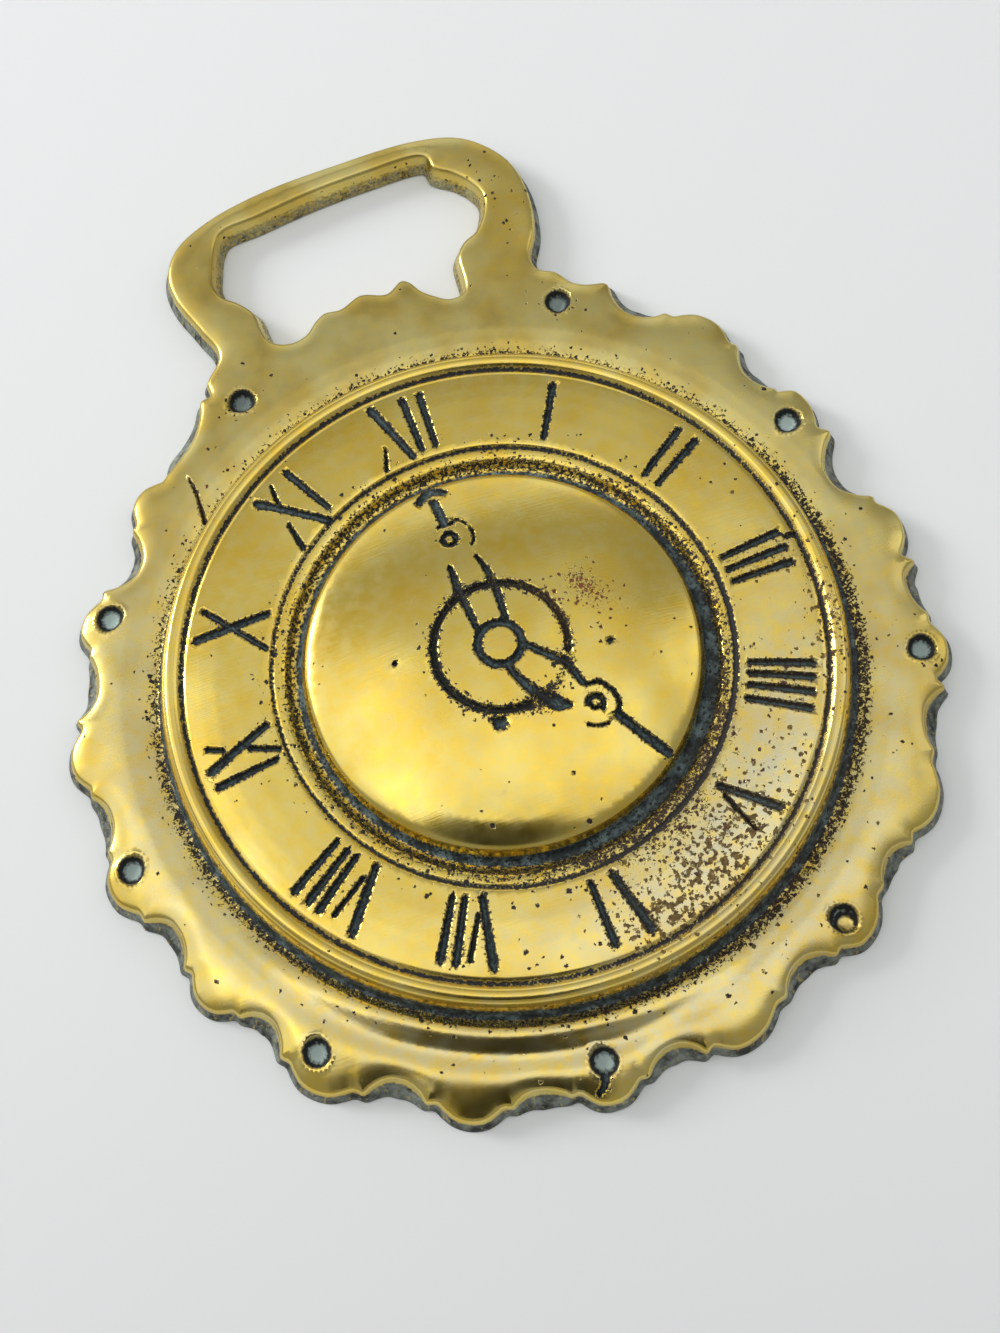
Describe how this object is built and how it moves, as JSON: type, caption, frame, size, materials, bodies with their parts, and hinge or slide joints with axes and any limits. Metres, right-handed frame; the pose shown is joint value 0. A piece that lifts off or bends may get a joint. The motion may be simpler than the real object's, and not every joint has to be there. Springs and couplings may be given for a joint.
{
  "type": "horse brass",
  "caption": "Cast horse brass with a relief clock dial on a scalloped flange and a slotted loop for a harness strap.",
  "frame": {"origin": "middle of the footprint, on the plane that the back lies on", "axes": "+Z out of the dial's face, +Y from the dial towards the strap loop, +X to the dial's three o'clock"},
  "size_m": [0.0778, 0.094, 0.0086],
  "materials": {
    "cast_brass": "cast brass, polished and worn on the face, tarnished olive, with dark green-black verdigris in the cuts and on the walls"
  },
  "bodies": {
    "root": {"horse_brass": "cast_brass"}
  },
  "joints": []
}
